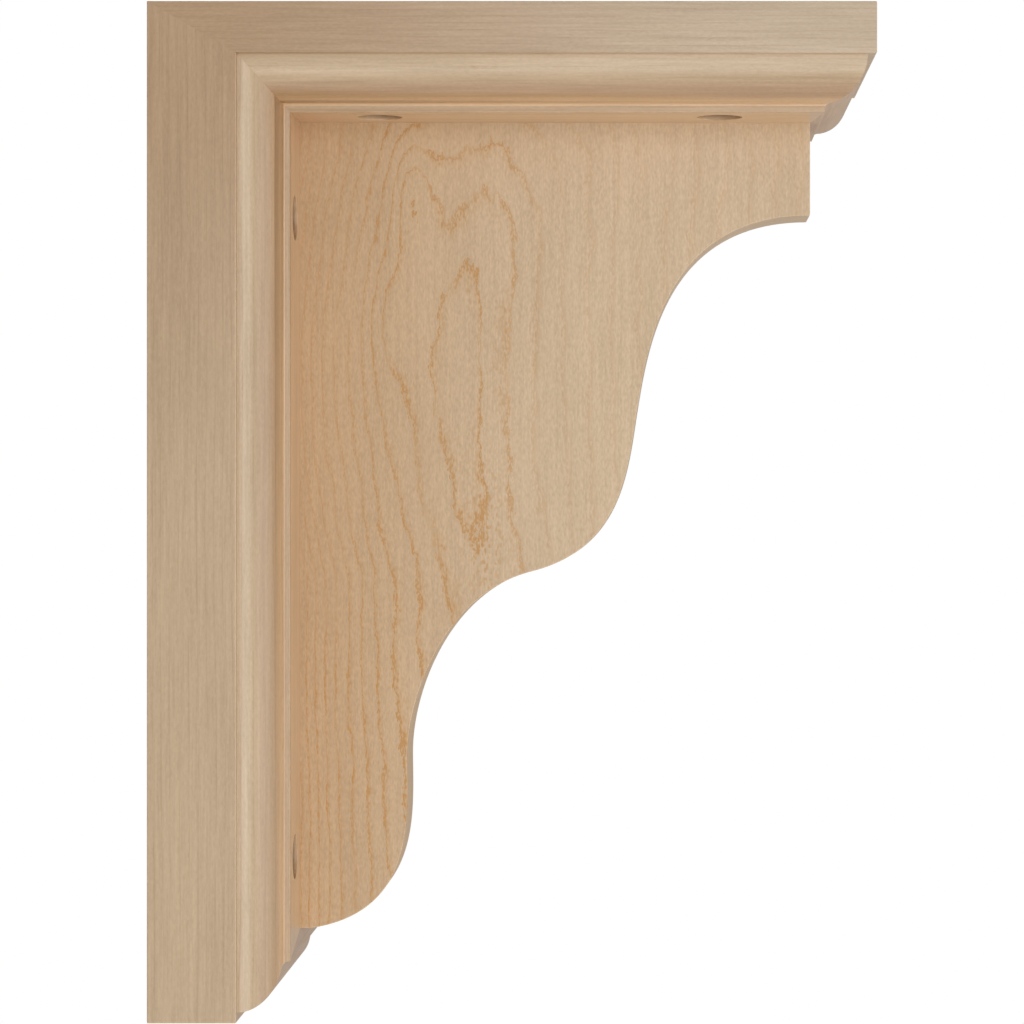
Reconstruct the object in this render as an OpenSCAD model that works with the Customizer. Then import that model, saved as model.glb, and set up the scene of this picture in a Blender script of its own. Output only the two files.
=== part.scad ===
// Wooden corbel bracket: an L of two mitred boards, a moulding mitred round the
// inside of the L, and an upright web with a scalloped front edge.
// +X points out from the wall, +Z up, and Y runs across the bracket.
// The origin is the centre of the back face, which sits on the wall.

/* [Overall size] */
// How far the bracket reaches out from the wall
reach = 254; // [245:1:320]
// Height of the back board
height = 355.6; // [352:0.1:450]
// Width across both boards
width = 127; // [118:1:160]

/* [Boards] */
// Thickness of the board against the wall
back_board_t = 31; // [20:0.5:36]
// Thickness of the board under the shelf
top_board_t = 18; // [15:0.5:24]

/* [Moulding] */
// Thickness of the moulding on the back board
back_moulding_t = 17; // [16:0.1:20]
// Thickness of the moulding under the top board
top_moulding_t = 18.7; // [16:0.1:20.5]
// Strip of board left bare outside the moulding
reveal = 3; // [2:0.1:5]
// From the edge of the board to the square step of the moulding
moulding_run = 17.4; // [14:0.1:18]
// Share of the moulding's thickness taken by its square step
step_share = 0.16; // [0.1:0.01:0.25]

/* [Web] */
// Thickness of the web
web_t = 28.6; // [22:0.1:34]
// How far the web's front stands back from the end of the top board
web_front_setback = 21; // [20.5:0.1:30]
// How far the web's lower end stays above the foot of the back board
web_foot_setback = 26.8; // [24:0.1:32]

/* [Screw holes] */
// Diameter of the counterbores
counterbore_d = 16; // [12:0.5:18]
// Depth of the counterbores
counterbore_depth = 9; // [4:0.5:10]
// Diameter of the screw holes
screw_d = 5.5; // [4:0.1:7]
// From the wall to the first top screw
top_screw_start = 78.2; // [70:0.1:80]
// Between the two top screws on one side
top_screw_pitch = 121.6; // [80:0.1:125]
// From the top of the bracket down to the upper wall screw
wall_screw_start = 72.5; // [65:0.1:80]
// Between the two wall screws on one side
wall_screw_pitch = 228.6; // [140:0.1:230]
// Between the two rows of screws, across the web
screw_gauge = 61; // [56:0.5:64]

/* [Hidden] */

// How far the cutting shapes run on past the faces that they cut
slack = 1;

// Inner faces of the moulded L, measured from the wall and down from the top
inner_x = back_board_t + back_moulding_t;
inner_z = top_board_t + top_moulding_t;
web_front = reach - web_front_setback;
web_foot = height - web_foot_setback;

// The foot return is the same moulding drawn out upwards, by the difference in
// thickness between the two arms
upright_stretch = top_moulding_t / back_moulding_t;
foot_reveal = reveal * upright_stretch;
foot_run = moulding_run * upright_stretch;
step_inset = width / 2 - moulding_run;

board_shade = [0.76, 0.65, 0.53];
moulding_shade = [0.79, 0.68, 0.55];
web_shade = [0.80, 0.66, 0.50];

// The two sides of the web, by the sign of Y
left = -1;
right = 1;

// Narrow flats to each curve of the edge and to the round of the moulding
curve_steps = 14;

// Scalloped edge: knots as shares of the web's reach and drop, the heading of
// the edge there in degrees, and the pull of the curve before and after the knot
// as shares of the web's reach.
scallop_knots = [
    [1.000, 0.115, 180, 0.000, 0.276],
    [0.661, 0.356, 261, 0.146, 0.121],
    [0.454, 0.557, 194, 0.183, 0.174],
    [0.210, 0.787, 270, 0.120, 0.117],
    [0.023, 1.000, 189, 0.211, 0.000]
];

function heading(angle) = [cos(angle), sin(angle)];

function knot_place(knot) = [
    inner_x + knot[0] * (web_front - inner_x),
    -inner_z - knot[1] * (web_foot - inner_z)
];

function bezier(a, b, c, d, t) =
    pow(1 - t, 3) * a + 3 * pow(1 - t, 2) * t * b + 3 * (1 - t) * t * t * c + pow(t, 3) * d;

// Points of the curve from one knot up to, but not on, the next
function scallop_span(from, to) =
    let (a = knot_place(from),
         d = knot_place(to),
         pull = web_front - inner_x,
         b = a + from[4] * pull * heading(from[2]),
         c = d - to[3] * pull * heading(to[2]))
    [for (i = [0 : curve_steps - 1]) bezier(a, b, c, d, i / curve_steps)];

scallop_edge = [
    for (k = [0 : len(scallop_knots) - 2])
        each scallop_span(scallop_knots[k], scallop_knots[k + 1])
];

// Section of the moulding: a quarter ellipse from the reveal to a square step.
// Each point is [inset from the edge of the board, depth into the L].
function moulding_section(first, last, thickness, back) =
    let (round_t = thickness * (1 - step_share))
    [
        for (i = [0 : curve_steps])
            let (angle = 90 * i / curve_steps)
            [last - (last - first) * cos(angle), round_t * sin(angle)],
        [last, thickness],
        [back, thickness],
        [back, 0]
    ];

// Everything below is laid out from the top back edge of the bracket
module from_top_back_edge() {
    translate([0, 0, height / 2]) children();
}

// Extrudes an outline drawn in X and Z across the bracket
module across(from_y, to_y) {
    translate([0, to_y, 0])
        rotate([90, 0, 0])
            linear_extrude(height = to_y - from_y)
                children();
}

// A screw hole upwards through the top board, with its counterbore
module top_screw_hole(x, y) {
    translate([x, y, -inner_z - slack])
        cylinder(h = inner_z + 2 * slack, d = screw_d, $fn = 48);
    translate([x, y, -inner_z - slack])
        cylinder(h = counterbore_depth + slack, d = counterbore_d, $fn = 96);
}

// A screw hole back through the back board, with its counterbore
module wall_screw_hole(depth_down, y) {
    translate([-slack, y, -depth_down])
        rotate([0, 90, 0])
            cylinder(h = inner_x + 2 * slack, d = screw_d, $fn = 48);
    translate([inner_x - counterbore_depth, y, -depth_down])
        rotate([0, 90, 0])
            cylinder(h = counterbore_depth + slack, d = counterbore_d, $fn = 96);
}

module all_top_screw_holes() {
    for (side = [left, right])
        for (i = [0, 1])
            top_screw_hole(top_screw_start + i * top_screw_pitch, side * screw_gauge / 2);
}

module all_wall_screw_holes() {
    for (side = [left, right])
        for (i = [0, 1])
            wall_screw_hole(wall_screw_start + i * wall_screw_pitch, side * screw_gauge / 2);
}

module back_board() {
    color(board_shade)
        from_top_back_edge()
            difference() {
                across(-width / 2, width / 2)
                    polygon([[0, 0], [back_board_t, -top_board_t], [back_board_t, -height], [0, -height]]);
                all_wall_screw_holes();
            }
}

module top_board() {
    color(board_shade)
        from_top_back_edge()
            difference() {
                across(-width / 2, width / 2)
                    polygon([[0, 0], [reach, 0], [reach, -top_board_t], [back_board_t, -top_board_t]]);
                all_top_screw_holes();
            }
}

module web() {
    color(web_shade)
        from_top_back_edge()
            across(-web_t / 2, web_t / 2)
                polygon(concat(
                    [[back_board_t, -top_board_t], [web_front, -top_board_t]],
                    scallop_edge,
                    [knot_place(scallop_knots[len(scallop_knots) - 1]), [back_board_t, -web_foot]]
                ));
}

// Room of the top moulding in the L, above the mitre at the inner corner
module top_moulding_room() {
    across(-width / 2, width / 2)
        polygon([[back_board_t, -top_board_t], [reach, -top_board_t], [reach, -inner_z], [inner_x, -inner_z]]);
}

// Room of the back moulding in the L, behind the mitre at the inner corner
module back_moulding_room() {
    across(-width / 2, width / 2)
        polygon([[back_board_t, -top_board_t], [inner_x, -inner_z], [inner_x, -height], [back_board_t, -height]]);
}

// Plan of the joint line at the front, drawn in X and Y, for one side stick
module top_side_plan(side) {
    translate([0, 0, -inner_z - slack])
        linear_extrude(height = inner_z)
            polygon([
                [back_board_t, side * web_t / 2],
                [back_board_t, side * width / 2],
                [reach, side * width / 2],
                [reach - moulding_run, side * step_inset],
                [web_front, side * web_t / 2]
            ]);
}

module top_front_plan() {
    translate([0, 0, -inner_z - slack])
        linear_extrude(height = inner_z)
            polygon([
                [reach, -width / 2],
                [reach, width / 2],
                [reach - moulding_run, step_inset],
                [web_front, web_t / 2],
                [web_front, -web_t / 2],
                [reach - moulding_run, -step_inset]
            ]);
}

// Front view of the joint line at the foot, drawn in Y and Z, for one side stick
module back_side_plan(side) {
    rotate([90, 0, 90])
        linear_extrude(height = inner_x + slack)
            polygon([
                [side * web_t / 2, -top_board_t],
                [side * width / 2, -top_board_t],
                [side * width / 2, -height],
                [side * step_inset, -height + foot_run],
                [side * web_t / 2, -web_foot]
            ]);
}

module back_foot_plan() {
    rotate([90, 0, 90])
        linear_extrude(height = inner_x + slack)
            polygon([
                [-width / 2, -height],
                [width / 2, -height],
                [step_inset, -height + foot_run],
                [web_t / 2, -web_foot],
                [-web_t / 2, -web_foot],
                [-step_inset, -height + foot_run]
            ]);
}

// The side stick's section, run from back to front under the top board
module top_side_bar(side) {
    section = moulding_section(reveal, moulding_run, top_moulding_t, (width - web_t) / 2);
    translate([reach, 0, 0])
        rotate([90, 0, -90])
            linear_extrude(height = reach - back_board_t)
                polygon([for (p = section) [-side * (width / 2 - p[0]), -top_board_t - p[1]]]);
}

// The side stick's section, run from the top to the foot on the back board
module back_side_bar(side) {
    section = moulding_section(reveal, moulding_run, back_moulding_t, (width - web_t) / 2);
    translate([0, 0, -height])
        linear_extrude(height = height - top_board_t)
            polygon([for (p = section) [back_board_t + p[1], side * (width / 2 - p[0])]]);
}

module top_moulding_side(side) {
    color(moulding_shade)
        from_top_back_edge()
            difference() {
                intersection() {
                    top_side_bar(side);
                    top_side_plan(side);
                    top_moulding_room();
                }
                all_top_screw_holes();
            }
}

module back_moulding_side(side) {
    color(moulding_shade)
        from_top_back_edge()
            difference() {
                intersection() {
                    back_side_bar(side);
                    back_side_plan(side);
                    back_moulding_room();
                }
                all_wall_screw_holes();
            }
}

module top_moulding_left() {
    top_moulding_side(left);
}

module top_moulding_right() {
    top_moulding_side(right);
}

module back_moulding_left() {
    back_moulding_side(left);
}

module back_moulding_right() {
    back_moulding_side(right);
}

// Return across the front end: the same moulding, turned through the mitres
module top_moulding_front() {
    section = moulding_section(reveal, moulding_run, top_moulding_t, web_front_setback);
    color(moulding_shade)
        from_top_back_edge()
            intersection() {
                across(-width / 2, width / 2)
                    polygon([for (p = section) [reach - p[0], -top_board_t - p[1]]]);
                top_front_plan();
            }
}

// Return across the foot: the same moulding, turned through the mitres
module back_moulding_foot() {
    section = moulding_section(foot_reveal, foot_run, back_moulding_t, web_foot_setback);
    color(moulding_shade)
        from_top_back_edge()
            intersection() {
                across(-width / 2, width / 2)
                    polygon([for (p = section) [back_board_t + p[1], p[0] - height]]);
                back_foot_plan();
            }
}

back_board();
top_board();
web();
top_moulding_left();
top_moulding_right();
top_moulding_front();
back_moulding_left();
back_moulding_right();
back_moulding_foot();
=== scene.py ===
"""Wooden corbel bracket: two mitred boards, a moulding round the inside of the L, and a scalloped web.

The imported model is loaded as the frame. Each of its nine pieces of wood is then made again with a
finer moulding and scallop, eased arrises, drilled screw holes and a maple finish of its own.
"""

from __future__ import annotations

import logging
import math
from dataclasses import dataclass, replace
from enum import Enum
from functools import cached_property, reduce
from typing import Any, Callable, Sequence

import bmesh
import bpy
import numpy as np
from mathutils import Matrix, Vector

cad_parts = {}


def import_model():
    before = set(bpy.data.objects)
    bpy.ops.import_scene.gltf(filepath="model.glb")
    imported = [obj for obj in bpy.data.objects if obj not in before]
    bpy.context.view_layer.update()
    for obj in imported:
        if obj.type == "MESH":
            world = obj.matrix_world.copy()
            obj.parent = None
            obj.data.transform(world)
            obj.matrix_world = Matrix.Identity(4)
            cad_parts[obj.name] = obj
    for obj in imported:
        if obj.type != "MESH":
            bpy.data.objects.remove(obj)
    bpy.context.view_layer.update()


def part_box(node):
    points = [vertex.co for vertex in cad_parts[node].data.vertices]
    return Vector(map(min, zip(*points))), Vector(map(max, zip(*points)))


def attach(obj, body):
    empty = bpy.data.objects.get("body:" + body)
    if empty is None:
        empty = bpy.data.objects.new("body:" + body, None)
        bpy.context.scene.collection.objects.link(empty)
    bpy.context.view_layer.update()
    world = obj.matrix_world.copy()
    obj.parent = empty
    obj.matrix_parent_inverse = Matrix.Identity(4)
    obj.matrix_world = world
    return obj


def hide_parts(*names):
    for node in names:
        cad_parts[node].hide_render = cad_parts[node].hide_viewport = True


log = logging.getLogger("corbel")

MM = 0.001

Point = tuple[float, float, float]
Flat = tuple[float, float]
Tint = tuple[float, float, float, float]
Faces = list[list[int]]
Socket = bpy.types.NodeSocket


class Side(Enum):
    """The two sides of the web, by the sign of Y."""

    LEFT = -1
    RIGHT = 1


class Grain(Enum):
    """Which way the fibres run in a piece, as the number of the axis."""

    OUT_FROM_WALL = 0
    ACROSS = 1
    UPRIGHT = 2

    def sideways(self) -> list[int]:
        """Gives the numbers of the two axes that lie across the fibres."""
        return [axis for axis in range(3) if axis != self.value]


class Layer(Enum):
    """The layers of pattern in a finish, by how far each one shifts the seed."""

    WANDER = 0
    PRESENCE = 1
    FIBRE = 2
    STREAK = 3
    DRIFT = 4
    FLECK = 5
    RUBBING = 6
    SPECKLE = 7
    FLECK_SHARE = 8
    SHAKE = 9


# Sizes and lines


@dataclass(frozen=True)
class BracketSizes:
    """Sizes of the whole bracket, read from the frame's own pieces, in metres."""

    reach: float
    height: float
    width: float
    back_board_t: float
    top_board_t: float
    back_moulding_t: float
    top_moulding_t: float
    reveal: float
    foot_reveal: float
    web_t: float
    web_front: float
    web_foot: float
    moulding_run: float = 17.4 * MM
    step_share: float = 0.16

    @classmethod
    def from_frame(cls) -> BracketSizes:
        """Measures the frame's pieces.

        Returns:
            The sizes of the bracket.
        """
        back_lo, back_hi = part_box("back_board")
        top_lo, top_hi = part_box("top_board")
        web_lo, web_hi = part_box("web")
        stick_lo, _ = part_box("top_moulding_left")
        foot_lo, foot_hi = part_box("back_moulding_foot")
        return cls(
            reach=top_hi[0],
            height=back_hi[2] - back_lo[2],
            width=back_hi[1] - back_lo[1],
            back_board_t=back_hi[0],
            top_board_t=top_hi[2] - top_lo[2],
            back_moulding_t=foot_hi[0] - back_hi[0],
            top_moulding_t=top_lo[2] - stick_lo[2],
            reveal=stick_lo[1] - back_lo[1],
            foot_reveal=foot_lo[2] - back_lo[2],
            web_t=web_hi[1] - web_lo[1],
            web_front=web_hi[0],
            web_foot=web_lo[2],
        )

    @property
    def top(self) -> float:
        """Height of the top face."""
        return self.height / 2

    @property
    def foot(self) -> float:
        """Height of the foot of the back board."""
        return -self.height / 2

    @property
    def board_under(self) -> float:
        """Height of the underside of the top board."""
        return self.top - self.top_board_t

    @property
    def inner_x(self) -> float:
        """From the wall to the face of the back moulding."""
        return self.back_board_t + self.back_moulding_t

    @property
    def inner_z(self) -> float:
        """Height of the underside of the top moulding."""
        return self.board_under - self.top_moulding_t

    @property
    def stick_width(self) -> float:
        """From the side of a board in to the web."""
        return (self.width - self.web_t) / 2

    @property
    def stretch(self) -> float:
        """How much taller the moulding is upright than it is deep."""
        return self.top_moulding_t / self.back_moulding_t

    @property
    def foot_run(self) -> float:
        """From the foot up to the square step of the foot return."""
        return self.moulding_run * self.stretch


@dataclass(frozen=True)
class Knot:
    """One knot of the scalloped edge.

    The place is in shares of the web's reach and drop, measured from the inner corner of the L. The
    pulls of the curve on its two sides are in shares of the web's reach.
    """

    reach: float
    drop: float
    heading: float
    pull_before: float
    pull_after: float


@dataclass(frozen=True)
class ScallopedEdge:
    """The web's front edge: two bellies and two hollows, from the top moulding to the foot."""

    knots: tuple[Knot, ...] = (
        Knot(1.000, 0.115, 180, 0.000, 0.276),
        Knot(0.661, 0.356, 261, 0.146, 0.121),
        Knot(0.454, 0.557, 194, 0.183, 0.174),
        Knot(0.210, 0.787, 270, 0.120, 0.117),
        Knot(0.023, 1.000, 189, 0.211, 0.000),
    )
    steps: int = 44

    def place(self, knot: Knot, s: BracketSizes) -> np.ndarray:
        """Gives a knot's X and Z."""
        reach, drop = s.web_front - s.inner_x, s.inner_z - s.web_foot
        return np.array([s.inner_x + knot.reach * reach, s.inner_z - knot.drop * drop])

    def points(self, s: BracketSizes) -> list[Flat]:
        """Lays out the edge as short flats between the knots.

        Args:
            s: Sizes of the bracket.

        Returns:
            The X and Z of each point, from the top down to the last knot.
        """
        reach = s.web_front - s.inner_x
        edge: list[np.ndarray] = []
        for knot, following in zip(self.knots, self.knots[1:]):
            start, end = self.place(knot, s), self.place(following, s)
            leave = start + knot.pull_after * reach * heading(knot.heading)
            arrive = end - following.pull_before * reach * heading(following.heading)
            edge += [cubic(start, leave, arrive, end, step / self.steps) for step in range(self.steps)]
        edge.append(self.place(self.knots[-1], s))
        return [(float(x), float(z)) for x, z in edge]


def heading(degrees: float) -> np.ndarray:
    """Gives the unit step in X and Z along a heading."""
    return np.array([math.cos(math.radians(degrees)), math.sin(math.radians(degrees))])


def cubic(a: np.ndarray, b: np.ndarray, c: np.ndarray, d: np.ndarray, t: float) -> np.ndarray:
    """Gives the point at share t of a cubic curve from a to d that b and c pull on."""
    s = 1 - t
    return s**3 * a + 3 * s * s * t * b + 3 * s * t * t * c + t**3 * d


@dataclass(frozen=True)
class MouldingProfile:
    """Section of a moulding: a quarter round from the reveal to a square step, then the flat.

    A point is the inset from the edge of the board and the depth out from the board.
    """

    reveal: float
    run: float
    thickness: float
    back: float
    step_share: float
    root_radius: float = 1.9 * MM
    round_flats: int = 30
    root_flats: int = 6

    def ring(self) -> list[Flat]:
        """Gives the section's outline.

        Returns:
            The round, the small hollow at the root of the step, the step, the back, and the point under
            the step on the board.
        """
        wide = self.run - self.reveal
        high = self.thickness * (1 - self.step_share)
        root = self.root_radius
        last_angle = math.acos(root / wide)
        outline = []
        for step in range(self.round_flats + 1):
            angle = last_angle * step / self.round_flats
            outline.append((self.run - wide * math.cos(angle), high * math.sin(angle)))
        for step in range(1, self.root_flats + 1):
            angle = math.pi / 2 * step / self.root_flats
            inset = self.run - root + root * math.sin(angle)
            outline.append((inset, high + root - root * math.cos(angle)))
        outline += [(self.run, self.thickness), (self.back, self.thickness)]
        outline += [(self.back, 0.0), (self.run, 0.0)]
        return outline

    def whole_end(self) -> Faces:
        """Gives the one face of an end that is cut straight across."""
        return [list(range(len(self.ring())))]

    def split_end(self) -> Faces:
        """Gives the two faces of an end whose joint line turns at the step.

        Returns:
            The face under the round, then the face under the step and the flat.
        """
        last = len(self.ring()) - 1
        root = last - 4  # The top of the hollow, four places before the last point.
        return [[*range(root + 1), last], list(range(root, last + 1))]


def band(first: int, count: int) -> Faces:
    """Joins a ring of points, from the first on, and the ring after it with a band of faces."""
    sides = [(first + here, first + (here + 1) % count) for here in range(count)]
    return [[here, there, count + there, count + here] for here, there in sides]


# Bench work: from blank to finished piece


@dataclass(frozen=True)
class ScrewHole:
    """A screw hole with a counterbore, drilled inwards from the face of a moulding."""

    mouth: Point
    inwards: Point
    depth: float
    shank_r: float = 2.75 * MM
    head_r: float = 8 * MM
    head_depth: float = 9 * MM
    mouth_chamfer: float = 0.25 * MM
    sides: int = 72

    def cutter(self) -> tuple[list[Point], Faces]:
        """Lays out the drill's own shape: a chamfered mouth, the counterbore and the shank hole.

        Returns:
            The points and the faces of one closed shell.
        """
        over = MM
        steps = [
            (-over, self.head_r + self.mouth_chamfer + over),
            (self.mouth_chamfer, self.head_r),
            (self.head_depth, self.head_r),
            (self.head_depth, self.shank_r),
            (self.depth + over, self.shank_r),
        ]
        axis = Vector(self.inwards)
        first = axis.orthogonal().normalized()
        second = axis.cross(first)
        points: list[Point] = []
        for along, radius in steps:
            for turn in range(self.sides):
                angle = 2 * math.pi * turn / self.sides
                spoke = first * math.cos(angle) + second * math.sin(angle)
                points.append(tuple(Vector(self.mouth) + axis * along + spoke * radius))
        faces = [list(range(self.sides)), [len(points) - 1 - i for i in range(self.sides)]]
        for ring in range(len(steps) - 1):
            faces += band(ring * self.sides, self.sides)
        return points, faces


@dataclass
class Blank:
    """A piece of wood before its arrises are eased: sharp corners and flat faces.

    The glued faces are the numbers of those that lie tight against another piece.
    """

    name: str
    points: list[Point]
    faces: Faces
    glued: set[int]

    @classmethod
    def across(cls, name: str, outline: Sequence[Flat], width: float, glued: Sequence[int]) -> Blank:
        """Saws an outline in X and Z to a width across the bracket.

        Args:
            name: Name of the piece.
            outline: X and Z of its corners in order.
            width: Width across, with the middle at Y = 0.
            glued: The edges of the outline that are glued to other pieces, by their first corner.

        Returns:
            The blank.
        """
        count = len(outline)
        points = [(x, y, z) for y in (-width / 2, width / 2) for x, z in outline]
        faces = [list(range(count)), list(range(2 * count - 1, count - 1, -1))]
        return cls(name, points, faces + band(0, count), {2 + edge % count for edge in glued})

    @classmethod
    def stick(
        cls, name: str, start: list[Point], end: list[Point], start_faces: Faces, end_faces: Faces
    ) -> Blank:
        """Runs a moulding from one joint to the other.

        Args:
            name: Name of the piece.
            start: The ring of the moulding's section where it meets the first joint.
            end: The same ring on the last joint.
            start_faces: Faces of the first end, as places in the ring.
            end_faces: Faces of the last end.

        Returns:
            The blank.
        """
        count = len(start)
        faces = [list(face) for face in start_faces]
        faces += [[count + i for i in reversed(face)] for face in end_faces]
        ends = len(faces)
        hidden = {ends + count - step for step in (1, 2, 3)}
        return cls(name, start + end, faces + band(0, count), set(range(ends)) | hidden)


@dataclass
class Workpiece:
    """Turns a blank into a finished object: eased, bored, smoothed and dressed."""

    blank: Blank
    holes: Sequence[ScrewHole] = ()
    easing: float = 0.35 * MM
    crown_share: float = 0.7
    sharp_angle: float = math.radians(35)
    shading_angle: float = math.radians(50)

    def make(self, material: bpy.types.Material, slot: str) -> bpy.types.Object:
        """Does all the bench work on the piece and hangs it in the frame.

        Args:
            material: Its finish.
            slot: Not used.

        Returns:
            The finished object, which stands for the frame's node of the same name.
        """
        mesh, arrises = self.ease()
        piece = bpy.data.objects.new(self.blank.name + "_wood", mesh)
        bpy.context.scene.collection.objects.link(piece)
        if self.holes:
            self.bore(piece)
        self.smooth(piece)
        self.mark_arrises(piece.data, arrises)
        piece.data.materials.clear()
        piece.data.materials.append(material)
        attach(piece, "root")
        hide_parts(self.blank.name)
        return piece

    def ease(self) -> tuple[bpy.types.Mesh, np.ndarray]:
        """Takes the sharpness off each outer corner with a narrow round, and leaves the joints tight.

        Returns:
            The eased mesh, and the two ends of each arris before it was eased.
        """
        bm = bmesh.new()
        corners = [bm.verts.new(point) for point in self.blank.points]
        faces = [bm.faces.new([corners[i] for i in face]) for face in self.blank.faces]
        bmesh.ops.recalc_face_normals(bm, faces=bm.faces)
        tight = {edge for number in self.blank.glued for edge in faces[number].edges}
        outer = [
            edge
            for edge in bm.edges
            if edge not in tight and edge.calc_face_angle_signed(0) > self.sharp_angle
        ]
        arrises = np.array([[edge.verts[0].co[:], edge.verts[1].co[:]] for edge in outer])
        bmesh.ops.bevel(
            bm,
            geom=outer,
            offset=self.easing,
            offset_type="OFFSET",
            segments=2,
            profile=0.5,
            affect="EDGES",
            clamp_overlap=True,
        )
        mesh = bpy.data.meshes.new(self.blank.name + "_wood")
        bm.to_mesh(mesh)
        bm.free()
        return mesh, arrises

    def bore(self, piece: bpy.types.Object) -> None:
        """Drills the screw holes.

        Args:
            piece: The eased piece, whose mesh is replaced by the drilled one.
        """
        points: list[Point] = []
        faces: Faces = []
        for hole in self.holes:
            hole_points, hole_faces = hole.cutter()
            faces += [[len(points) + i for i in face] for face in hole_faces]
            points += hole_points
        drill_mesh = bpy.data.meshes.new("drill")
        drill_mesh.from_pydata(points, [], faces)
        drill = bpy.data.objects.new("drill", drill_mesh)
        bpy.context.scene.collection.objects.link(drill)
        bm = bmesh.new()
        bm.from_mesh(drill_mesh)
        bmesh.ops.recalc_face_normals(bm, faces=bm.faces)
        bm.to_mesh(drill_mesh)
        bm.free()
        cut = piece.modifiers.new("bore", "BOOLEAN")
        cut.operation = "DIFFERENCE"
        cut.solver = "EXACT"
        cut.object = drill
        self.settle(piece)
        bpy.data.objects.remove(drill)
        bpy.data.meshes.remove(drill_mesh)

    def smooth(self, piece: bpy.types.Object) -> None:
        """Shades the rounds smoothly and keeps the flats flat.

        Args:
            piece: The piece, whose mesh is replaced.
        """
        piece.data.shade_smooth()
        piece.data.set_sharp_from_angle(angle=self.shading_angle)
        even = piece.modifiers.new("even", "WEIGHTED_NORMAL")
        even.keep_sharp = True
        self.settle(piece)

    def settle(self, piece: bpy.types.Object) -> None:
        """Turns the piece's modifiers into plain mesh.

        Args:
            piece: The piece, whose mesh is replaced.
        """
        graph = bpy.context.evaluated_depsgraph_get()
        shaped = piece.evaluated_get(graph)
        mesh = bpy.data.meshes.new_from_object(shaped, preserve_all_data_layers=True, depsgraph=graph)
        before = piece.data
        piece.modifiers.clear()
        piece.data = mesh
        bpy.data.meshes.remove(before)
        mesh.name = self.blank.name + "_wood"

    def mark_arrises(self, mesh: bpy.types.Mesh, arrises: np.ndarray) -> None:
        """Writes a 1 on the points along the crown of each eased arris and a 0 elsewhere.

        Args:
            mesh: The piece's mesh.
            arrises: The two ends of each arris before it was eased.
        """
        spots = np.empty(len(mesh.vertices) * 3)
        mesh.vertices.foreach_get("co", spots)
        spots = spots.reshape(-1, 3)
        nearest = np.full(len(spots), np.inf)
        for begin, finish in arrises:
            run = finish - begin
            share = np.clip((spots - begin) @ run / (run @ run), 0, 1)
            gap = np.linalg.norm(spots - begin - share[:, None] * run, axis=1)
            nearest = np.minimum(nearest, gap)
        crown = (nearest < self.crown_share * self.easing).astype(np.float32)
        layer = mesh.attributes.new("arris", "FLOAT", "POINT")
        layer.data.foreach_set("value", crown)


# Finishes


@dataclass(frozen=True)
class Amount:
    """A number that varies from place to place in the wood, with ordinary arithmetic."""

    bench: FinishBench
    output: Socket

    def __add__(self, other: Any) -> Amount:
        """Adds a number or another amount."""
        return self.bench.maths("ADD", self, other)

    def __sub__(self, other: Any) -> Amount:
        """Takes away a number or another amount."""
        return self.bench.maths("SUBTRACT", self, other)

    def __rsub__(self, other: float) -> Amount:
        """Takes the amount away from a number."""
        return self.bench.maths("SUBTRACT", other, self)

    def __mul__(self, other: Any) -> Amount:
        """Multiplies by a number or another amount."""
        return self.bench.maths("MULTIPLY", self, other)

    def __truediv__(self, other: float) -> Amount:
        """Divides by a number."""
        return self.bench.maths("DIVIDE", self, other)

    def __pow__(self, power: float) -> Amount:
        """Raises to a power."""
        return self.bench.maths("POWER", self, power)

    def __abs__(self) -> Amount:
        """Drops the sign."""
        return self.bench.maths("ABSOLUTE", self)

    def at_least(self, least: float) -> Amount:
        """Keeps the amount from falling below a number."""
        return self.bench.maths("MAXIMUM", self, least)

    def fade(self, start: float, end: float) -> Amount:
        """Gives 0 at the start, 1 at the end, and a soft step between."""
        ends = {"Value": self, "From Min": start, "From Max": end}
        return self.bench.amount("ShaderNodeMapRange", ends, interpolation_type="SMOOTHSTEP")

    def bound(self) -> Amount:
        """Keeps the amount between 0 and 1."""
        return self.bench.amount("ShaderNodeClamp", {0: self})


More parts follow.
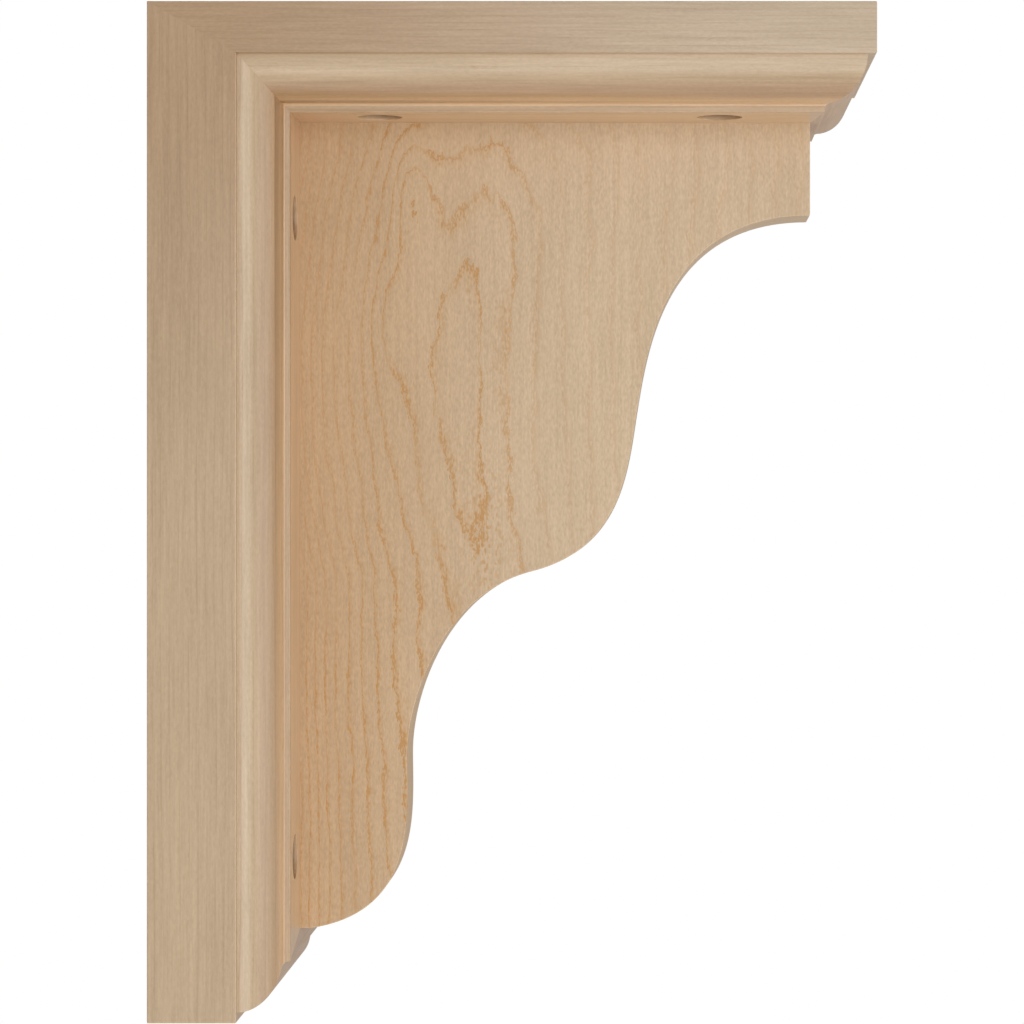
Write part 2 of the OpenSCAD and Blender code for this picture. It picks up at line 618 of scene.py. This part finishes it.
class FinishBench:
    """Lays out the nodes of one finish, so that a finish reads as a few lines of working."""

    def __init__(self, name: str) -> None:
        """Starts an empty material.

        Args:
            name: Name of the material.
        """
        self.material = bpy.data.materials.new(name)
        self.material.use_nodes = True
        self.tree = self.material.node_tree
        self.tree.nodes.clear()
        self.place = self.node("ShaderNodeTexCoord", {}).outputs["Object"]
        self.axes = self.split(self.place)

    def node(self, kind: str, inputs: dict[Any, Any], **settings: Any) -> bpy.types.Node:
        """Adds a node, sets its options and feeds its sockets.

        Args:
            kind: Blender's name of the node type.
            inputs: The amount, output or plain value that goes into each socket, by name or number.
            **settings: Its options.

        Returns:
            The node.
        """
        made = self.tree.nodes.new(kind)
        for key, value in settings.items():
            setattr(made, key, value)
        for key, value in inputs.items():
            value = value.output if isinstance(value, Amount) else value
            if isinstance(value, Socket):
                self.tree.links.new(value, made.inputs[key])
            else:
                made.inputs[key].default_value = value
        return made

    def amount(self, kind: str, inputs: dict[Any, Any], **settings: Any) -> Amount:
        """Adds a node and gives its first output."""
        return Amount(self, self.node(kind, inputs, **settings).outputs[0])

    def split(self, vector: Socket) -> list[Amount]:
        """Splits a vector's output into its X, Y and Z."""
        return [Amount(self, output) for output in self.node("ShaderNodeSeparateXYZ", {0: vector}).outputs]

    def maths(self, action: str, *values: Any) -> Amount:
        """Works out one sum of numbers or amounts, by Blender's name of the operation."""
        return self.amount("ShaderNodeMath", dict(enumerate(values)), operation=action)

    def total(self, *values: Any) -> Amount:
        """Adds several numbers or amounts together, in order."""
        return reduce(lambda so_far, value: self.maths("ADD", so_far, value), values)

    def blend(self, share: Any, first: Any, second: Any, mode: str = "MIX") -> Socket:
        """Mixes a share of a second colour into a first one, and gives the colour's output."""
        inputs = {0: share, 6: first, 7: second}
        return self.node("ShaderNodeMix", inputs, data_type="RGBA", blend_type=mode).outputs[2]


@dataclass(frozen=True)
class Maple:
    """Bare sanded maple with straight grain, cut well away from the heart of the tree.

    A cell is the length and the width of one patch of a pattern, along and across the fibres.
    """

    name: str
    grain: Grain
    seed: float
    # Used as set here by the back board: paler low down and warmer near the top. The paler colour is
    # partly the wood's own tone and partly painted sheen of the softboxes, which is strongest low down.
    pale: Tint = (0.53, 0.385, 0.24, 1)
    warm: Tint = (0.47, 0.31, 0.18, 1)
    warm_axis: Grain = Grain.UPRIGHT
    warm_at: float = 160 * MM
    pale_at: float = 0.0
    lighter: Tint = (1.13, 1.13, 1.13, 1)
    darker: Tint = (0.87, 0.84, 0.79, 1)
    line: Tint = (0.36, 0.215, 0.10, 1)
    ring_width: float = 2.6 * MM
    heart_distance: float = 70 * MM
    heart_skew: float = 1.6
    bow: float = 5 * MM
    bow_cell: Flat = (160 * MM, 30 * MM)
    line_skirt: float = 0.15
    line_core: float = 0.41
    line_crest: float = 0.50
    line_end: float = 0.57
    core_share: float = 0.68
    line_strength: float = 0.45
    line_grit: float = 0.15
    presence_cell: Flat = (24 * MM, 3 * MM)
    presence_fade: Flat = (-0.22, 0.22)
    fibre_cell: Flat = (24 * MM, 0.8 * MM)
    fibre_strength: float = 1.1
    streak_cell: Flat = (80 * MM, 2.4 * MM)
    streak_strength: float = 0.5
    drift_cell: Flat = (110 * MM, 22 * MM)
    drift_strength: float = 0.8
    speckle_cell: Flat = (1.8 * MM, 0.65 * MM)
    speckle_strength: float = 0.8
    fleck_cell: Flat = (1.6 * MM, 0.8 * MM)
    fleck_fade: Flat = (0.06, 0.22)
    fleck_patch: Flat = (40 * MM, 9 * MM)
    fleck_patch_fade: Flat = (0.0, 0.15)
    fleck_strength: float = 0.10
    end_grain_tint: Tint = (0.36, 0.22, 0.11, 1)
    end_grain_share: float = 0.22
    end_grain_fade: Flat = (0.55, 0.9)
    worn: Tint = (0.80, 0.62, 0.44, 1)
    worn_share: float = 0.35
    rubbing_cell: Flat = (9 * MM, 9 * MM)
    rubbing_fade: Flat = (-0.25, 0.3)
    roughness: float = 0.40
    fibre_satin: float = 0.14
    drift_satin: float = 0.06
    worn_satin: float = -0.06
    relief: float = 0.03 * MM
    fibre_relief: float = 0.8
    line_relief: float = -0.3
    gloss_ior: float = 1.65
    seed_shift: Point = (1.0, 1.7, 2.3)

    @cached_property
    def bench(self) -> FinishBench:
        """The bench that this finish is laid out on."""
        return FinishBench(self.name)

    def pattern(self, layer: Layer, cell: Flat, detail: float = 1) -> Amount:
        """Gives one layer of soft random pattern, centred on zero.

        Args:
            layer: The layer, which shifts the seed so that no two are alike.
            cell: Length and width of one patch.
            detail: How many finer layers it has.

        Returns:
            The pattern, about -0.3 to 0.3.
        """
        along, across = cell
        scale = [1 / (along if axis == self.grain.value else across) for axis in range(3)]
        start = [share * (self.seed + layer.value) for share in self.seed_shift]
        moved = {"Vector": self.bench.place, "Scale": scale, "Location": start}
        shift = self.bench.node("ShaderNodeMapping", moved)
        inputs = {"Vector": shift.outputs[0], "Scale": 1.0, "Detail": detail}
        return self.bench.amount("ShaderNodeTexNoise", inputs) - 0.5

    def rings(self) -> Amount:
        """Counts the growth rings from the heart out.

        Returns:
            The ring number, which grows by 1 from one ring to the next.
        """
        first, second = self.grain.sideways()
        wander = self.pattern(Layer.WANDER, self.bow_cell)
        one = self.bench.axes[first] + self.heart_distance
        other = self.bench.axes[second] + self.heart_distance * self.heart_skew
        radius = self.bench.maths("SQRT", one**2 + other**2)
        return (radius + wander * self.bow) / self.ring_width

    def lines(self, rings: Amount) -> Amount:
        """Draws the thin dark end of each growth ring, with a faint shade that leads up to it.

        Args:
            rings: The ring number.

        Returns:
            The depth of the line, 0 to 1.
        """
        share = self.bench.maths("FRACT", rings)
        core = share.fade(self.line_core, self.line_crest) * self.core_share
        skirt = share.fade(self.line_skirt, self.line_crest) * (1 - self.core_share)
        return (core + skirt) * share.fade(self.line_end, self.line_crest)

    def presence(self) -> Amount:
        """Gives how strongly the lines show from place to place, 0 to 1."""
        return self.pattern(Layer.PRESENCE, self.presence_cell, 2).fade(*self.presence_fade)

    def fleck_share(self) -> Amount:
        """Gives how strongly the flecks show from place to place, 0 to 1."""
        return self.pattern(Layer.FLECK_SHARE, self.fleck_patch).fade(*self.fleck_patch_fade)

    def ground(self) -> Socket:
        """Lays a warm colour and a pale colour side by side, with a soft change between them. On the
        boards the pale side is partly painted sheen, on the web the warm side is painted bounce light and
        shade, and on the sticks the pair is a painted highlight and painted shade.

        Returns:
            The colour without its grain.
        """
        place = self.bench.axes[self.warm_axis.value]
        if self.warm_axis is Grain.ACROSS:
            place = abs(place)
        return self.bench.blend(place.fade(self.warm_at, self.pale_at), self.warm, self.pale)

    def make(self) -> bpy.types.Material:
        """Lays out the finish.

        Returns:
            The material.
        """
        bench = self.bench
        speckle = self.pattern(Layer.SPECKLE, self.speckle_cell)
        rings = self.rings() + speckle * self.line_grit
        line = self.lines(rings) * self.presence()
        fibre = self.pattern(Layer.FIBRE, self.fibre_cell, 2)
        streak = self.pattern(Layer.STREAK, self.streak_cell)
        drift = self.pattern(Layer.DRIFT, self.drift_cell)
        shade = bench.total(
            0.5,
            fibre * self.fibre_strength,
            streak * self.streak_strength,
            drift * self.drift_strength,
            speckle * self.speckle_strength,
        )
        ground = self.ground()
        lighter = bench.blend(1.0, ground, self.lighter, "MULTIPLY")
        darker = bench.blend(1.0, ground, self.darker, "MULTIPLY")
        colour = bench.blend(shade.bound(), lighter, darker)
        fleck = self.pattern(Layer.FLECK, self.fleck_cell, 0).fade(*self.fleck_fade)
        flecks = fleck * self.fleck_share() * self.fleck_strength
        colour = bench.blend((line * self.line_strength + flecks).bound(), colour, self.line)
        colour = self.end_grain(colour)
        crown = bench.node("ShaderNodeAttribute", {}, attribute_name="arris")
        arris = Amount(bench, crown.outputs["Fac"])
        wear = arris * self.pattern(Layer.RUBBING, self.rubbing_cell, 2).fade(*self.rubbing_fade)
        colour = bench.blend(wear * self.worn_share, colour, self.worn)
        satin = bench.total(
            self.roughness,
            fibre * self.fibre_satin,
            drift * self.drift_satin,
            wear * self.worn_satin,
        )
        height = bench.total(0.5, fibre * self.fibre_relief, line * self.line_relief, speckle)
        bump = bench.node("ShaderNodeBump", {"Height": height, "Distance": self.relief, "Strength": 1.0})
        look = {"Base Color": colour, "Roughness": satin, "Normal": bump.outputs[0], "IOR": self.gloss_ior}
        shader = bench.node("ShaderNodeBsdfPrincipled", look)
        bench.node("ShaderNodeOutputMaterial", {"Surface": shader.outputs[0]})
        return bench.material

    def end_grain(self, colour: Socket) -> Socket:
        """Darkens the faces that cut across the fibres.

        Args:
            colour: The colour so far.

        Returns:
            The colour with its end grain.
        """
        surface = self.bench.node("ShaderNodeNewGeometry", {})
        normal = self.bench.split(surface.outputs["True Normal"])
        facing = abs(normal[self.grain.value]).fade(*self.end_grain_fade)
        return self.bench.blend(facing * self.end_grain_share, colour, self.end_grain_tint)


@dataclass(frozen=True)
class StickMaple(Maple):
    """Straight maple of the moulding sticks, with painted light in its colour: a pale painted highlight
    along the round, painted shade lower down it, and warmer painted bounce light towards the web.

    The places of its colours are distances from the middle of the bracket.
    """

    bored_along: Grain = Grain.UPRIGHT
    bored_from: float = 0.0
    # pale and warm: a painted highlight near the outer edge of the round, and painted shade where the
    # round turns down.
    pale: Tint = (0.56, 0.42, 0.27, 1)
    warm: Tint = (0.38, 0.226, 0.11, 1)
    warm_axis: Grain = Grain.ACROSS
    warm_at: float = 55.5 * MM
    pale_at: float = 60.5 * MM
    # root: painted warm bounce light in the hollow where the round meets the step.
    root: Tint = (0.62, 0.405, 0.228, 1)
    root_start: float = 54.5 * MM
    root_end: float = 48.5 * MM
    step: Tint = (0.46, 0.305, 0.168, 1)
    step_at: float = 46.1 * MM
    step_blur: float = 0.3 * MM
    # inner: painted warm bounce light from the web on the underside of the stick.
    inner: Tint = (0.61, 0.405, 0.235, 1)
    # Painted shade inside the drilled holes, darker from a little way in from each hole's mouth.
    painted_hole_shade: Tint = (0.20, 0.115, 0.06, 1)
    painted_hole_shade_share: float = 0.8
    painted_hole_shade_within: Flat = (43 * MM, 42.5 * MM)
    painted_hole_shade_depth: Flat = (0.3 * MM, 2.5 * MM)
    ring_width: float = 4.5 * MM
    line_strength: float = 0.5
    streak_strength: float = 0.8
    roughness: float = 0.32

    def ground(self) -> Socket:
        """Paints light and shade from the round in to the web, with a tint on the step, and paints shade
        inside the drilled holes.

        Returns:
            The colour without its grain.
        """
        bench = self.bench
        off_centre = abs(bench.axes[Grain.ACROSS.value])
        # The inherited ground lays the painted highlight and the painted shade on the round.
        colour = super().ground()
        # Painted warm bounce light in the hollow at the root of the step.
        colour = bench.blend(off_centre.fade(self.root_start, self.root_end), colour, self.root)
        step, soft = self.step_at, self.step_blur
        colour = bench.blend(off_centre.fade(step + 2 * soft, step + soft), colour, self.step)
        # Painted warm bounce light from the web on the underside.
        colour = bench.blend(off_centre.fade(step - soft, step - 2 * soft), colour, self.inner)
        # Painted shade inside the drilled holes, deeper than a few tenths of a millimetre.
        depth = bench.axes[self.bored_along.value] - self.bored_from
        if self.bored_along is Grain.OUT_FROM_WALL:
            depth = depth * -1.0
        inside = depth.fade(*self.painted_hole_shade_depth) * off_centre.fade(*self.painted_hole_shade_within)
        return bench.blend(inside * self.painted_hole_shade_share, colour, self.painted_hole_shade)


@dataclass(frozen=True)
class Swell:
    """A place on the web where the growth rings bulge out or dip in, with its drop below the top."""

    x: float
    drop: float
    half_width: float
    half_height: float
    rings: float

    def bulge(self, x: Amount, drop: Amount) -> Amount:
        """Counts the rings that the swell adds.

        Args:
            x: Distance out from the wall.
            drop: Distance below the top.

        Returns:
            The number of rings.
        """
        wide = (x - self.x) / self.half_width
        high = (drop - self.drop) / self.half_height
        return x.bench.maths("EXPONENT", (wide**2 + high**2) * -1.0) * self.rings


@dataclass(frozen=True)
class FiguredMaple(Maple):
    """Maple sawn flat through the outer rings, with arched lines in the middle of its face."""

    top: float = 177.8 * MM
    heart_x: float = 109 * MM
    heart_drop: float = 125 * MM
    near_width: float = 12 * MM
    near_crowding: float = 38 * MM
    far_start: float = -3 * MM
    far_width: float = 9.2 * MM
    arch_up: float = 40 * MM
    arch_down: float = 60 * MM
    arch_power: float = 1.6
    lean: float = 6 * MM
    lean_drop: float = 65 * MM
    most_lean: float = 8 * MM
    depth_per_ring: float = 6 * MM
    first_line: float = 0.15
    wander_cell: Flat = (34 * MM, 13 * MM)
    wander_rings: float = 0.9
    shake_cell: Flat = (7 * MM, 2.6 * MM)
    shake_rings: float = 0.45
    presence_cell: Flat = (34 * MM, 7 * MM)
    presence_fade: Flat = (-0.32, 0.05)
    front_fade: Flat = (141 * MM, 117 * MM)
    front_least: float = 0.25
    wall_fade: Flat = (57 * MM, 85 * MM)
    wall_least: float = 0.6
    foot_fade: Flat = (170 * MM, 260 * MM)
    foot_share: float = 0.45
    swells: tuple[Swell, ...] = (
        Swell(88 * MM, 62 * MM, 7 * MM, 22 * MM, -2.0),
        Swell(80 * MM, 108 * MM, 9 * MM, 22 * MM, -1.2),
        Swell(104 * MM, 74 * MM, 6 * MM, 10 * MM, 0.4),
        Swell(118 * MM, 120 * MM, 5 * MM, 25 * MM, 0.6),
        Swell(92 * MM, 195 * MM, 12 * MM, 30 * MM, 0.3),
    )
    fleck_spot: Swell = Swell(115 * MM, 187 * MM, 7 * MM, 24 * MM, 1.0)

    def rings(self) -> Amount:
        """Counts the growth rings out from the middle of the arches.

        Returns:
            The ring number.
        """
        bench = self.bench
        x, y, z = bench.axes
        drop = self.top - z
        below = drop - self.heart_drop
        lean = bench.maths("MINIMUM", (below / self.lean_drop) ** 2 * self.lean, self.most_lean)
        across = x - self.heart_x - lean
        near = (across * -1.0).at_least(0.0)
        far = (across - self.far_start).at_least(0.0)
        above = (below * -1.0).at_least(0.0)
        sideways = near / self.near_width + (near / self.near_crowding) ** 3 + far / self.far_width
        upright = (above / self.arch_up) ** self.arch_power + below.at_least(0.0) / self.arch_down
        return bench.total(
            bench.maths("SQRT", sideways**2 + upright**2),
            -self.first_line,
            self.pattern(Layer.WANDER, self.wander_cell) * self.wander_rings,
            self.pattern(Layer.SHAKE, self.shake_cell, 2) * self.shake_rings,
            y / self.depth_per_ring,
            *[swell.bulge(x, drop) for swell in self.swells],
        )

    def presence(self) -> Amount:
        """Gives how strongly the lines show: well in the middle and low down, faintly to the front.

        Returns:
            The strength of the lines, 0 to about 1.
        """
        x, _, z = self.bench.axes
        uneven = self.pattern(Layer.PRESENCE, self.presence_cell, 2)
        front = x.fade(*self.front_fade)
        wall = x.fade(*self.wall_fade)
        foot = (self.top - z).fade(*self.foot_fade)
        middle = front * (1 - self.front_least) + self.front_least
        near = self.bench.total(self.wall_least, wall * (1 - self.wall_least), foot * self.foot_share)
        return middle * near * uneven.fade(*self.presence_fade)

    def fleck_share(self) -> Amount:
        """Gives how strongly the flecks show: in one patch below the arches."""
        x, _, z = self.bench.axes
        return self.fleck_spot.bulge(x, self.top - z)


# Sub-assemblies

HoleLayout = Callable[[BracketSizes, Side], list[ScrewHole]]


@dataclass(frozen=True)
class ScrewLayout:
    """Where the four screws through each board go."""

    top_starts: Flat = (78.2 * MM, 199.8 * MM)
    wall_drops: Flat = (72.5 * MM, 301.1 * MM)
    gauge: float = 61 * MM

    def top_holes(self, s: BracketSizes, side: Side) -> list[ScrewHole]:
        """Sets out the holes up through the top moulding and board, on one side of the web."""
        spots = [(x, side.value * self.gauge / 2, s.inner_z) for x in self.top_starts]
        return [ScrewHole(spot, (0, 0, 1), s.top_moulding_t + s.top_board_t) for spot in spots]

    def wall_holes(self, s: BracketSizes, side: Side) -> list[ScrewHole]:
        """Sets out the holes back through the back moulding and board, on one side of the web."""
        spots = [(s.inner_x, side.value * self.gauge / 2, s.top - drop) for drop in self.wall_drops]
        return [ScrewHole(spot, (-1, 0, 0), s.inner_x) for spot in spots]


@dataclass
class Boards:
    """The L of two boards, mitred together at the top of the wall."""

    sizes: BracketSizes
    screws: ScrewLayout
    back_finish: Maple = Maple("back_board_maple", Grain.UPRIGHT, 3.1)
    top_finish: Maple = Maple(
        "top_board_maple",
        Grain.OUT_FROM_WALL,
        8.6,
        # Paler towards the front: partly the wood's own tone and partly painted sheen of the softboxes,
        # which is strongest towards the front.
        pale=(0.535, 0.41, 0.28, 1),
        warm_axis=Grain.OUT_FROM_WALL,
        warm_at=10 * MM,
        pale_at=235 * MM,
    )

    def build(self) -> list[bpy.types.Object]:
        """Makes both boards.

        Returns:
            The back board and the top board.
        """
        s = self.sizes
        corner, inner = (0.0, s.top), (s.back_board_t, s.board_under)
        back = [corner, inner, (s.back_board_t, s.foot), (0.0, s.foot)]
        top = [corner, (s.reach, s.top), (s.reach, s.board_under), inner]
        back_blank = Blank.across("back_board", back, s.width, [0])
        top_blank = Blank.across("top_board", top, s.width, [3])
        return [
            self.board(back_blank, self.screws.wall_holes, self.back_finish),
            self.board(top_blank, self.screws.top_holes, self.top_finish),
        ]

    def board(self, blank: Blank, holes: HoleLayout, finish: Maple) -> bpy.types.Object:
        """Bores a board on both sides of the web and gives it its finish."""
        bored = holes(self.sizes, Side.LEFT) + holes(self.sizes, Side.RIGHT)
        return Workpiece(blank, bored).make(finish.make(), "boards")


@dataclass
class Web:
    """The upright web between the two arms of the L."""

    sizes: BracketSizes
    edge: ScallopedEdge = ScallopedEdge()
    finish: FiguredMaple = FiguredMaple(
        "web_maple",
        Grain.UPRIGHT,
        5.2,
        # Warmer and darker towards the wall: painted warm bounce light and painted shade of the inner
        # corner of the L.
        pale=(0.59, 0.43, 0.265, 1),
        warm=(0.535, 0.35, 0.185, 1),
        warm_axis=Grain.OUT_FROM_WALL,
        warm_at=45 * MM,
        pale_at=150 * MM,
        line=(0.50, 0.245, 0.055, 1),
        line_strength=1.0,
        line_grit=0.4,
        fibre_strength=0.7,
        speckle_strength=1.5,
        fleck_strength=0.8,
    )

    def build(self) -> list[bpy.types.Object]:
        """Makes the web.

        Returns:
            The web alone, in a list.
        """
        s = self.sizes
        outline = [(s.back_board_t, s.board_under), (s.web_front, s.board_under)]
        outline += self.edge.points(s)
        outline.append((s.back_board_t, s.web_foot))
        blank = Blank.across("web", outline, s.web_t, glued=[0, -1])
        return [Workpiece(blank).make(replace(self.finish, top=s.top).make(), "web")]


@dataclass
class Moulding:
    """The moulding along one board: a stick on each side of the web, and a return across its end.

    An inset is a distance in from the side of the board, a setback from its end, and a depth is a
    distance out from its face. The end and the ways inwards and out are X and Z. The mitre is how far
    the inner corner's joint runs in X and Z for each depth.
    """

    name: str
    end_name: str
    sizes: BracketSizes
    thickness: float
    end_reveal: float
    end_run: float
    end_setback: float
    end: np.ndarray
    inwards: np.ndarray
    out: np.ndarray
    mitre: Flat
    holes: HoleLayout
    wood: StickMaple
    seeds: dict[Side, float]
    end_seed: float
    end_tint: Tint

    @classmethod
    def under_top(cls, s: BracketSizes, screws: ScrewLayout) -> Moulding:
        """Plans the moulding under the top board, with its return at the front.

        Args:
            s: Sizes of the bracket.
            screws: Where the screws go.

        Returns:
            The moulding.
        """
        return cls(
            name="top_moulding",
            end_name="top_moulding_front",
            sizes=s,
            thickness=s.top_moulding_t,
            end_reveal=s.reveal,
            end_run=s.moulding_run,
            end_setback=s.reach - s.web_front,
            end=np.array([s.reach, s.board_under]),
            inwards=np.array([-1, 0]),
            out=np.array([0, -1]),
            mitre=(1 / s.stretch, -1),
            holes=screws.top_holes,
            wood=StickMaple("", Grain.OUT_FROM_WALL, 0, bored_along=Grain.UPRIGHT, bored_from=s.inner_z),
            seeds={Side.LEFT: 12.4, Side.RIGHT: 17.9},
            end_seed=21.3,
            end_tint=(0.51, 0.35, 0.225, 1),
        )

    @classmethod
    def on_back(cls, s: BracketSizes, screws: ScrewLayout) -> Moulding:
        """Plans the moulding on the back board, with its return at the foot.

        Args:
            s: Sizes of the bracket.
            screws: Where the screws go.

        Returns:
            The moulding.
        """
        wood = StickMaple("", Grain.UPRIGHT, 0, bored_along=Grain.OUT_FROM_WALL, bored_from=s.inner_x)
        return cls(
            name="back_moulding",
            end_name="back_moulding_foot",
            sizes=s,
            thickness=s.back_moulding_t,
            end_reveal=s.foot_reveal,
            end_run=s.foot_run,
            end_setback=s.web_foot - s.foot,
            end=np.array([s.back_board_t, s.foot]),
            inwards=np.array([0, 1]),
            out=np.array([1, 0]),
            mitre=(1, -s.stretch),
            holes=screws.wall_holes,
            # The back sticks get a lighter painted shade on the round, which begins nearer the outer edge.
            wood=replace(wood, warm=(0.45, 0.30, 0.175, 1), warm_at=57.3 * MM),
            seeds={Side.LEFT: 27.7, Side.RIGHT: 31.2},
            end_seed=36.8,
            end_tint=(0.45, 0.31, 0.205, 1),
        )

    @property
    def joint(self) -> tuple[list[float], list[float]]:
        """The insets and the setbacks of the joint line at its start, its turn and its end."""
        s = self.sizes
        return [0, s.moulding_run, s.stick_width], [0, self.end_run, self.end_setback]

    def build(self) -> list[bpy.types.Object]:
        """Makes the two side sticks and the return."""
        return [self.side_stick(Side.LEFT), self.side_stick(Side.RIGHT), self.end_return()]

    def place(self, setback: float, y: float, depth: float) -> Point:
        """Gives the X, Y and Z of a point at a setback and a depth."""
        x, z = self.end + setback * self.inwards + depth * self.out
        return (float(x), y, float(z))

    def side_stick(self, side: Side) -> bpy.types.Object:
        """Makes one side stick, mitred in the inner corner and jointed to the return.

        Args:
            side: Which side of the web it is on.

        Returns:
            The stick.
        """
        s = self.sizes
        profile = MouldingProfile(s.reveal, s.moulding_run, self.thickness, s.stick_width, s.step_share)
        insets, setbacks = self.joint
        mitre_x, mitre_z = self.mitre
        corner, end = [], []
        for inset, depth in profile.ring():
            y = side.value * (s.width / 2 - inset)
            corner.append((s.back_board_t + depth * mitre_x, y, s.board_under + depth * mitre_z))
            end.append(self.place(float(np.interp(inset, insets, setbacks)), y, depth))
        name = f"{self.name}_{side.name.lower()}"
        blank = Blank.stick(name, corner, end, profile.whole_end(), profile.split_end())
        finish = replace(self.wood, name=name + "_maple", seed=self.seeds[side])
        return Workpiece(blank, self.holes(s, side)).make(finish.make(), "mouldings")

    def end_return(self) -> bpy.types.Object:
        """Makes the return across the end of the board.

        Returns:
            The return.
        """
        s = self.sizes
        profile = MouldingProfile(
            self.end_reveal, self.end_run, self.thickness, self.end_setback, s.step_share
        )
        insets, setbacks = self.joint
        left, right = [], []
        for setback, depth in profile.ring():
            y = s.width / 2 - float(np.interp(setback, setbacks, insets))
            left.append(self.place(setback, -y, depth))
            right.append(self.place(setback, y, depth))
        blank = Blank.stick(self.end_name, left, right, profile.split_end(), profile.split_end())
        tint = self.end_tint
        finish = Maple(self.end_name + "_maple", Grain.ACROSS, self.end_seed, pale=tint, warm=tint)
        return Workpiece(blank).make(finish.make(), "mouldings")


# Studio


@dataclass(frozen=True)
class Softbox:
    """A soft rectangular light that faces the bracket. Its glow is its brightness."""

    name: str
    place: Point
    width: float
    height: float
    glow: float

    def hang(self, aim: Point) -> None:
        """Hangs the light and turns it to the bracket.

        Args:
            aim: The point that it faces.
        """
        lamp = bpy.data.lights.new(self.name, "AREA")
        lamp.shape = "RECTANGLE"
        lamp.size = self.width
        lamp.size_y = self.height
        lamp.energy = self.glow * math.pi * self.width * self.height
        holder = bpy.data.objects.new(self.name, lamp)
        holder.location = self.place
        holder.rotation_mode = "QUATERNION"
        holder.rotation_quaternion = (Vector(aim) - Vector(self.place)).to_track_quat("-Z", "Y")
        holder.visible_camera = False
        bpy.context.scene.collection.objects.link(holder)


@dataclass
class Studio:
    """A pale floor, soft white light all round, seven softboxes and the camera."""

    sizes: BracketSizes
    room_light: float = 0.42
    backdrop: float = 1.0
    floor_drop: float = 1.3
    floor_radius: float = 2.0
    floor_tint: Tint = (0.86, 0.85, 0.84, 1)
    floor_roughness: float = 0.9
    floor_gloss: float = 0.2
    floor_sides: int = 96
    camera_distance: float = 1.13
    camera_x: float = 176.73 * MM
    camera_below_top: float = 175.32 * MM
    lens: float = 114.25
    shift: Flat = (-0.1396, -0.0068)
    softboxes: tuple[Softbox, ...] = (
        Softbox("front_softbox", (0.275, -1.5, 0.05), 0.35, 1.05, 2.9),
        Softbox("lower_softbox", (0.10, -1.5, -0.76), 0.8, 0.50, 2.0),
        Softbox("right_softbox", (0.72, -1.5, -0.15), 0.50, 1.3, 1.6),
        Softbox("side_softbox", (1.70, -0.63, -0.15), 1.4, 1.3, 1.65),
        Softbox("low_softbox", (0.25, -0.35, -1.25), 1.2, 1.2, 1.0),
        Softbox("back_softbox", (-0.70, 1.35, 0.10), 1.5, 1.5, 1.5),
        Softbox("top_softbox", (0.10, 0.45, 1.40), 1.4, 1.4, 1.3),
    )

    def build(self) -> None:
        """Sets up the whole studio."""
        self.lay_floor()
        self.light_room()
        for softbox in self.softboxes:
            softbox.hang((self.sizes.reach / 2, 0, 0))
        self.set_camera()

    def lay_floor(self) -> None:
        """Lays a pale round floor under the bracket."""
        height = self.sizes.foot - self.floor_drop
        points = []
        for turn in range(self.floor_sides):
            angle = 2 * math.pi * turn / self.floor_sides
            x = self.sizes.reach / 2 + self.floor_radius * math.cos(angle)
            points.append((x, self.floor_radius * math.sin(angle), height))
        mesh = bpy.data.meshes.new("floor")
        mesh.from_pydata(points, [], [list(range(self.floor_sides))])
        floor = bpy.data.objects.new("floor", mesh)
        bpy.context.scene.collection.objects.link(floor)
        paint = bpy.data.materials.new("floor_paint")
        paint.use_nodes = True
        shader = paint.node_tree.nodes["Principled BSDF"]
        shader.inputs["Base Color"].default_value = self.floor_tint
        shader.inputs["Roughness"].default_value = self.floor_roughness
        shader.inputs["Specular IOR Level"].default_value = self.floor_gloss
        mesh.materials.append(paint)

    def light_room(self) -> None:
        """Fills the room with even white light, brighter where the camera sees it."""
        world = bpy.data.worlds.new("room")
        world.use_nodes = True
        tree = world.node_tree
        glow = tree.nodes["Background"]
        glow.inputs["Color"].default_value = (1, 1, 1, 1)
        seen = tree.nodes.new("ShaderNodeLightPath").outputs["Is Camera Ray"]
        strength = tree.nodes.new("ShaderNodeMapRange")
        strength.inputs["To Min"].default_value = self.room_light
        strength.inputs["To Max"].default_value = self.backdrop
        tree.links.new(seen, strength.inputs["Value"])
        tree.links.new(strength.outputs[0], glow.inputs["Strength"])
        bpy.context.scene.world = world
        bpy.context.scene.view_settings.view_transform = "Standard"

    def set_camera(self) -> None:
        """Stands the camera level, square on to the left side of the bracket."""
        lens = bpy.data.cameras.new("camera")
        lens.lens = self.lens
        lens.shift_x, lens.shift_y = self.shift
        camera = bpy.data.objects.new("camera", lens)
        camera.location = (
            self.camera_x,
            -self.sizes.width / 2 - self.camera_distance,
            self.sizes.top - self.camera_below_top,
        )
        camera.rotation_euler = (math.pi / 2, 0, 0)
        bpy.context.scene.collection.objects.link(camera)
        bpy.context.scene.camera = camera


def corners(box: Sequence[Any]) -> list[list[float]]:
    """Turns a box's two corners into plain lists of numbers."""
    return [[float(value) for value in corner] for corner in box]


def main() -> None:
    """Builds the bracket piece by piece, logs each piece's face count and sets up the studio."""
    logging.basicConfig(level=logging.INFO, format="%(name)s: %(message)s")
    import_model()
    sizes = BracketSizes.from_frame()
    screws = ScrewLayout()
    assemblies = (
        Boards(sizes, screws),
        Web(sizes),
        Moulding.under_top(sizes, screws),
        Moulding.on_back(sizes, screws),
    )
    for assembly in assemblies:
        for piece in assembly.build():
            log.info("%s: %d faces", piece.name, len(piece.data.polygons))
    Studio(sizes).build()


if __name__ == "__main__":
    main()
